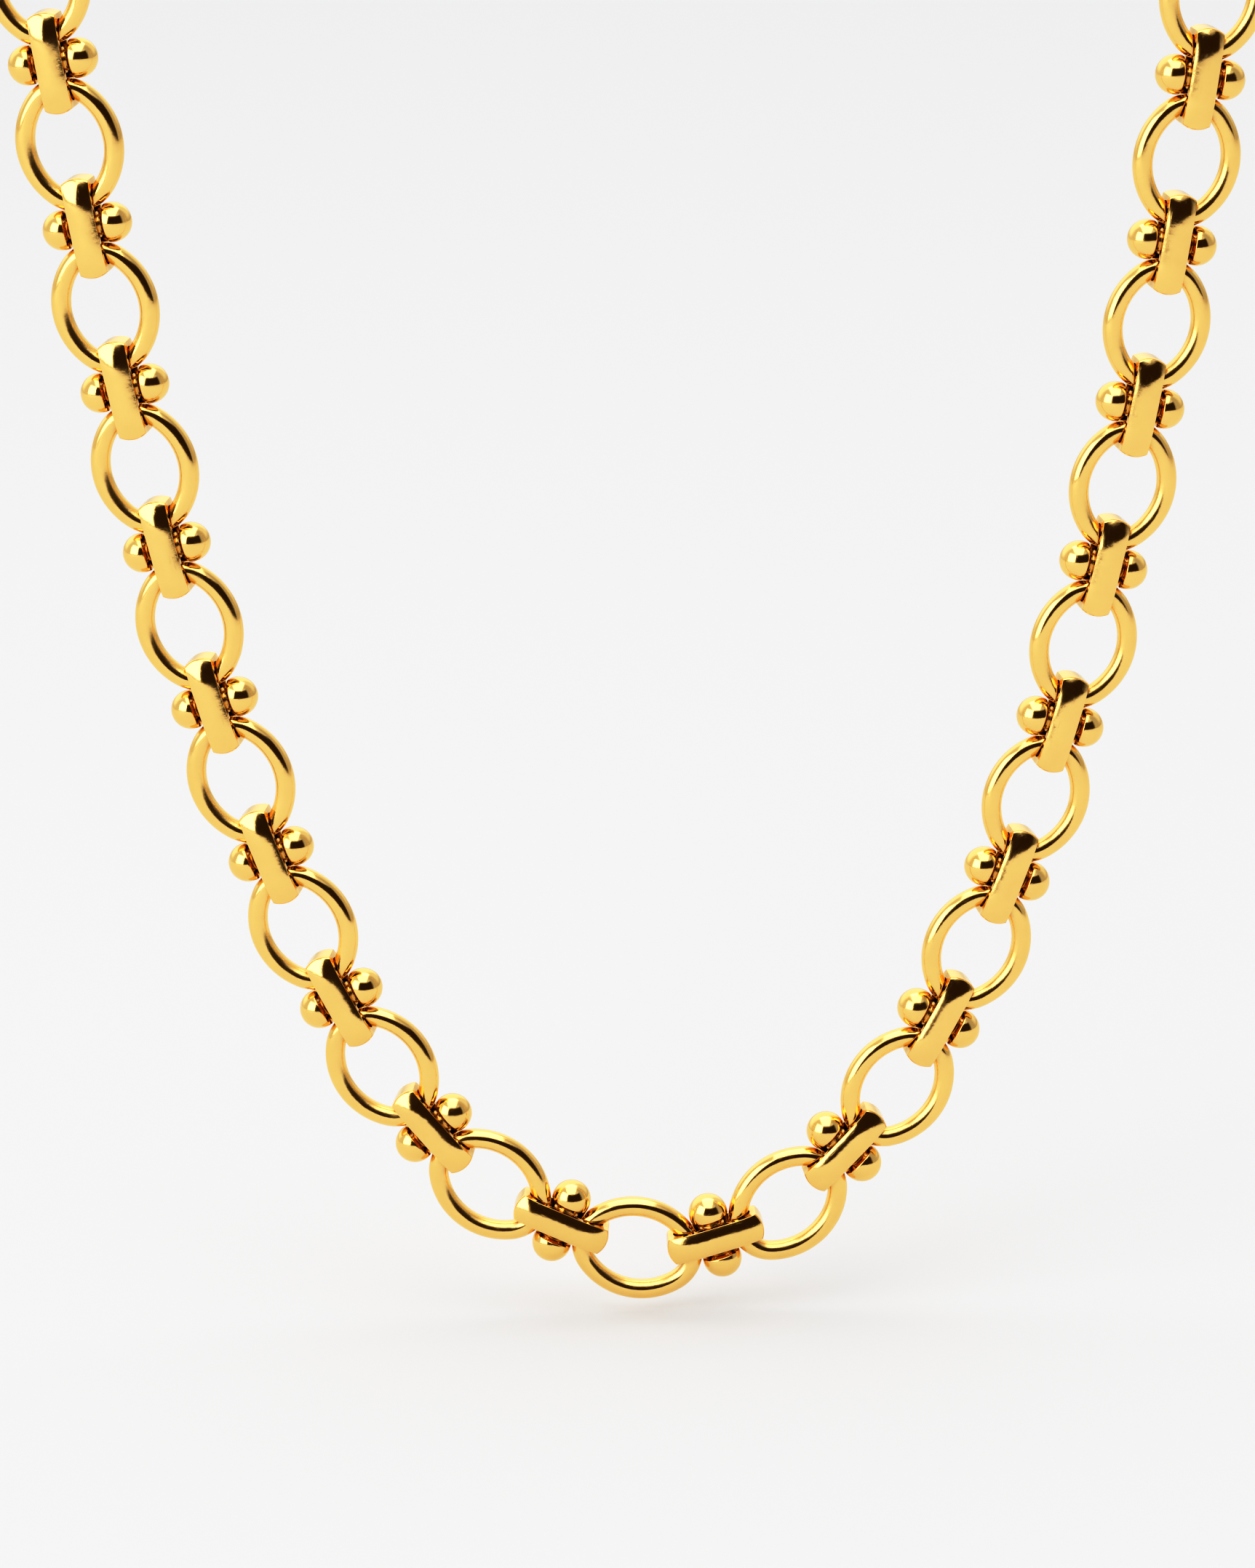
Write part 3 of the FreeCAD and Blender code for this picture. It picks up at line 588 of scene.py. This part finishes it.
def stadium_path(length, width, wire, steps=28):
    """The centre line of a long link in the XZ plane."""
    radius = (width - wire) / 2
    rise = (length - wire) / 2 - radius
    path = [p for p, _ in arc_points((0, rise), radius, 0, 180, steps)]
    path += [(-radius, v) for v in (rise, rise / 3, -rise / 3)]
    path += [p for p, _ in arc_points((0, -rise), radius, 180, 360, steps)]
    path += [(radius, v) for v in (-rise, -rise / 3, rise / 3)]
    return [(x, 0, z) for x, z in path]


def circle_path(radius, steps=72):
    return [(x, 0, z) for (x, z), _ in arc_points((0, 0), radius, 0, 360, steps)]


def seam(count, at, depth=0.06):
    """A faint pinch where the two ends of a wire were soldered together."""
    return [1 - depth * math.exp(-(((k - at + count / 2) % count - count / 2) / 1.1) ** 2)
            for k in range(count)]


def shifted(matrix, along):
    """The same directions, moved along local Z by millimetres."""
    return matrix @ Matrix.Translation((0, 0, along * MM))


def at_centre(matrix, node):
    moved = matrix.copy()
    moved.translation = box_centre(node)
    return moved


def moved_mesh(mesh, across, rise):
    mesh.transform(Matrix.Translation((across * MM, 0, rise * MM)))
    return mesh


QUARTER = Matrix.Rotation(math.pi / 2, 4, "Z")
jump_path = circle_path(JUMP_RADIUS)
jump = wire_mesh("jump_ring", jump_path, JUMP_WIRE, pinch=seam(len(jump_path), 9))
link_path = stadium_path(LINK_LENGTH, LINK_WIDTH, LINK_WIRE)
link = wire_mesh("extender_link", link_path, LINK_WIRE, pinch=seam(len(link_path), 30))

clasp_end, tail_end = ring_matrix(1), ring_matrix(RING_COUNT)
for node, end in (("jump_ring_clasp", clasp_end), ("jump_ring_extender", tail_end)):
    add_piece(f"{node}_wire", jump, at_centre(end, node) @ QUARTER, node, finding_gold, node)

EXTENDER_LINKS = sum(1 for body in frame["bodies"] if body.startswith("extender_link_"))
for number in range(1, EXTENDER_LINKS + 1):
    node = f"extender_link_{number}"
    turned = at_centre(tail_end, node) @ (QUARTER if number % 2 == 0 else Matrix())
    add_piece(f"{node}_wire", link, turned, node, finding_gold, node)

last_link = at_centre(tail_end, f"extender_link_{EXTENDER_LINKS}")
drop_at = shifted(last_link, (LINK_LENGTH - LINK_WIRE) / 2 + DROP_EYE - LINK_WIRE - PLAY)
eye_path = circle_path(DROP_EYE, 56)
drop_eye = wire_mesh("drop_eye", eye_path, LINK_WIRE)
add_piece("end_drop_eye", drop_eye, drop_at, "end_drop", finding_gold, "end_drop")
bead_profile = [(DROP_BALL / 2 * math.cos(math.pi * k / 40), DROP_BALL / 2 * math.sin(math.pi * k / 40))
                for k in range(41)]
bead_profile[0], bead_profile[-1] = (DROP_BALL / 2, 0), (-DROP_BALL / 2, 0)
bead = moved_mesh(lathe_mesh("drop_bead", bead_profile), 0, DROP_EYE + DROP_BALL / 2)
add_piece("end_drop_bead", bead, drop_at, "end_drop", ball_gold, "end_drop")

eye_at = shifted(at_centre(clasp_end, "jump_ring_clasp"), JUMP_RADIUS + EYE_HOLE - JUMP_WIRE / 2 - PLAY)
claw_radius = (CLAW_INSIDE + CLAW_OUTSIDE) / 2
claw_wide, claw_deep = (CLAW_OUTSIDE - CLAW_INSIDE) / 2, CLAW_THICK / 2
hook = arc_loft("claw_hook", (0, CLAW_RISE), claw_radius, 61, 292, claw_wide, claw_deep, nose=14, tail=5)
eye_radius = (EYE_HOLE + EYE_OUTSIDE) / 2
eye_sections = [(p, out, (EYE_OUTSIDE - EYE_HOLE) / 2, 0.5)
                for p, out in arc_points((0, 0), eye_radius, 0, 360, 64)]
tail_eye = loft_mesh("tail_eye", eye_sections, closed=True)
neck_rows = [(1.25, 0.75, 0.46), (1.6, 0.9, 0.6), (2.1, 0.98, 0.76), (2.7, 1.02, 0.88), (3.2, 1.15, 1.0),
             (3.6, 1.4, 1.12), (4.0, 1.75, 1.2), (4.3, 1.6, 1.1)]
neck = loft_mesh("claw_neck", [((0, z), (1, 0), wide, deep) for z, wide, deep in neck_rows])
cheek_edge = 0.14
cheeks = []
for low, high in ((-claw_deep, -0.8), (0.8, claw_deep)):
    cheek = washer_mesh("hinge_cheek", HINGE_BOSS, low, high, edge=cheek_edge)
    cheeks.append(moved_mesh(cheek, HINGE_ACROSS, HINGE_RISE))
for name, mesh in (("claw_hook", hook), ("claw_tail_eye", tail_eye), ("claw_neck", neck),
                   ("hinge_cheek_front", cheeks[0]), ("hinge_cheek_back", cheeks[1])):
    add_piece(name, mesh, eye_at, "clasp", finding_gold, "clasp_body")

arm = arc_loft("lever_arm", (0, CLAW_RISE), claw_radius, -62, 57, claw_wide - 0.1, LEVER_THICK / 2,
               nose=6, tail=9)
hub = moved_mesh(washer_mesh("lever_hub", LEVER_HUB, -LEVER_THICK / 2, LEVER_THICK / 2),
                 HINGE_ACROSS, HINGE_RISE)
tab = moved_mesh(washer_mesh("lever_tab", 0.56, -LEVER_THICK / 2, LEVER_THICK / 2, edge=0.25),
                 CLAW_OUTSIDE + 0.2, CLAW_RISE - 1.3)
for name, mesh in (("lever_arm", arm), ("lever_hub", hub), ("lever_thumb_tab", tab)):
    add_piece(name, mesh, eye_at, "clasp_lever", finding_gold, "clasp_lever")

pin_profile = [(claw_deep, 0), (claw_deep, 0.2), (claw_deep - 0.03, 0.33), (claw_deep - 0.08, PIN_RADIUS)]
pin_profile += [(-x, r) for x, r in reversed(pin_profile)]
pin = lathe_mesh("hinge_pin", pin_profile, 40)
pin.transform(Matrix.Rotation(math.pi / 2, 4, "Z"))
pin = moved_mesh(pin, HINGE_ACROSS, HINGE_RISE)
add_piece("hinge_pin", pin, eye_at, "clasp", steel, "clasp_pin")
coil_path = []
for k in range(121):
    angle = 2 * math.pi * 2 * k / 120
    coil_path.append((HINGE_ACROSS + SPRING_RADIUS * math.cos(angle), 0.67 - 0.44 * k / 120,
                      HINGE_RISE + SPRING_RADIUS * math.sin(angle)))
coil = wire_mesh("torsion_spring", coil_path, SPRING_WIRE, closed=False, sides=12)
add_piece("torsion_spring", coil, eye_at, "clasp", steel, "clasp_spring")

# ---------------------------------------------------------------- stage, light and camera

FLOOR_Z = -1.4 * MM
PAPER_PAINTED_FILL_GLOW = 0.2  # painted light: the paper glows to fill in the shadow under the chain
NEAR_SHADE = 0.95  # painted shade: the sheet is painted this much darker near the camera, which evens out the light falling on it


def stage_material(name, colour, roughness=0.9):
    material = bpy.data.materials.new(name)
    material.use_nodes = True
    n = Nodes(material.node_tree)
    shader = material.node_tree.nodes["Principled BSDF"]
    grain = n.noise(n.add("TexCoord").outputs["Object"], 900, 4.0, 0.6)
    paper = n.mix(grain, tuple(c * 0.992 for c in colour) + (1,), tuple(colour) + (1,))
    # painted shade: the paper is darker towards the camera, to even out the light
    depth = n.add("SeparateXYZ", {0: n.add("TexCoord").outputs["Object"]}).outputs["Y"]
    near = n.ramp(depth, 0.75, -0.06)
    paper = n.mix(near, paper, tuple(c * NEAR_SHADE for c in colour) + (1,))
    n.tree.links.new(paper, shader.inputs["Base Color"])
    shader.inputs["Roughness"].default_value = roughness
    shader.inputs["Specular IOR Level"].default_value = 0.1
    # painted light: the paper glows white, which lightens its shadows
    shader.inputs["Emission Color"].default_value = (1, 1, 1, 1)
    shader.inputs["Emission Strength"].default_value = PAPER_PAINTED_FILL_GLOW
    return material


def pale_floor():
    """A large round sheet of pale paper."""
    points = [(0, 0, FLOOR_Z / MM)]
    for ring_radius in (300, 1200, 4000):
        for k in range(64):
            angle = 2 * math.pi * k / 64
            points.append((ring_radius * math.cos(angle), ring_radius * math.sin(angle), FLOOR_Z / MM))
    faces = [(0, 1 + k, 1 + (k + 1) % 64) for k in range(64)]
    for band in range(2):
        low = 1 + 64 * band
        faces += [(low + k, low + 64 + k, low + 64 + (k + 1) % 64, low + (k + 1) % 64) for k in range(64)]
    mesh = new_mesh("paper_floor", points, faces, closed=False)
    mesh.materials.append(stage_material("studio_paper", (0.63, 0.63, 0.635)))
    floor = bpy.data.objects.new("paper_floor", mesh)
    bpy.context.scene.collection.objects.link(floor)


def soft_box(name, place_at, aim, width, height, power, colour=(1, 1, 1)):
    light = bpy.data.lights.new(name, "AREA")
    light.shape = "RECTANGLE"
    light.size, light.size_y, light.energy, light.color = width, height, power, colour
    lamp = bpy.data.objects.new(name, light)
    bpy.context.scene.collection.objects.link(lamp)
    lamp.location = place_at
    lamp.rotation_euler = (Vector(aim) - Vector(place_at)).to_track_quat("-Z", "Y").to_euler()
    lamp.visible_camera = False
    return lamp


def window(n, value, low, high, soft):
    """1 between low and high, in degrees, with soft edges, else 0."""
    low, high, soft = (math.radians(v) for v in (low, high, soft))
    rise = n.ramp(value, low - soft, low + soft)
    fall = n.ramp(value, high + soft, high - soft)
    return n.math("MULTIPLY", rise, fall)


def grey(n, value):
    return n.add("CombineColor", {0: value, 1: value, 2: value}).outputs[0]


def studio_world(strength):
    """White walls to the sides and behind, and the dark room behind the camera.

    The camera itself sees only the pale wall; the dark part shows in reflections.
    """
    world = bpy.data.worlds.new("studio")
    bpy.context.scene.world = world
    world.use_nodes = True
    n = Nodes(world.node_tree)
    back = world.node_tree.nodes["Background"]
    direction = n.add("TexCoord").outputs["Generated"]
    parts = n.add("SeparateXYZ", {0: direction}).outputs
    azimuth = n.math("ARCTAN2", parts["X"], n.math("MULTIPLY", parts["Y"], -1.0))
    elevation = n.math("ARCSINE", parts["Z"])
    room = n.math("MULTIPLY", window(n, azimuth, -25, 66, 5), window(n, elevation, -95, 41, 3))
    right_wall = n.math("MULTIPLY", window(n, azimuth, 62, 150, 8), window(n, elevation, -95, 60, 6))
    far_wall = n.math("MULTIPLY", n.ramp(n.math("ABSOLUTE", azimuth), 1.7, 2.1), window(n, elevation, 8, 80, 8))
    value = n.math("ADD", 0.76, n.math("MULTIPLY", far_wall, 0.5))
    value = n.math("MULTIPLY", value, n.math("SUBTRACT", 1.0, n.math("MULTIPLY", right_wall, 0.3)))
    shade = n.mix(room, grey(n, value), (0.06, 0.038, 0.018, 1))
    seen = n.add("LightPath").outputs["Is Camera Ray"]
    n.tree.links.new(n.mix(seen, shade, (0.87, 0.87, 0.87, 1)), back.inputs["Color"])
    back.inputs["Strength"].default_value = strength


pale_floor()
studio_world(1.0)
soft_box("soft_box_top", (0, -0.42, 1.55), (0, -0.42, 0), 1.5, 2.05, 10.4)
soft_box("soft_box_left", (-0.92, -0.77, 0.62), (0, 0, 0.3), 1.1, 1.1, 5.6)

camera = bpy.data.objects.new("camera", bpy.data.cameras.new("camera"))
bpy.context.scene.collection.objects.link(camera)
bpy.context.scene.camera = camera
FRAME_WIDTH, FRAME_HEIGHT = 1725, 2156
FOCAL_PIXELS, PITCH, ROLL = 8956.0, math.radians(16.0), math.radians(-1.2)
camera.data.sensor_width = 36.0
camera.data.lens = 36.0 * FOCAL_PIXELS / FRAME_HEIGHT
camera.data.clip_start, camera.data.clip_end = 0.01, 50.0
right, up = Vector((1, 0, 0)), Vector((0, math.sin(PITCH), math.cos(PITCH)))
rolled_right = right * math.cos(ROLL) + up * math.sin(ROLL)
rolled_up = up * math.cos(ROLL) - right * math.sin(ROLL)
facing = Matrix((rolled_right, rolled_up, rolled_right.cross(rolled_up))).transposed().to_4x4()
facing.translation = Vector((0, -0.564, 0.211))
camera.matrix_world = facing
view = bpy.context.scene.view_settings
view.view_transform = "Standard"
view.use_curve_mapping = True
# the camera's tone curve: deeper shadows, a soft shoulder
tone_curve = view.curve_mapping.curves[3]
for light, shown in ((0.06, 0.015), (0.2, 0.09), (0.42, 0.31), (0.7, 0.69), (0.88, 0.88)):
    tone_curve.points.new(light, shown)
tone_curve.points[-1].location = (1.0, 0.97)
view.curve_mapping.update()

bpy.context.view_layer.update()
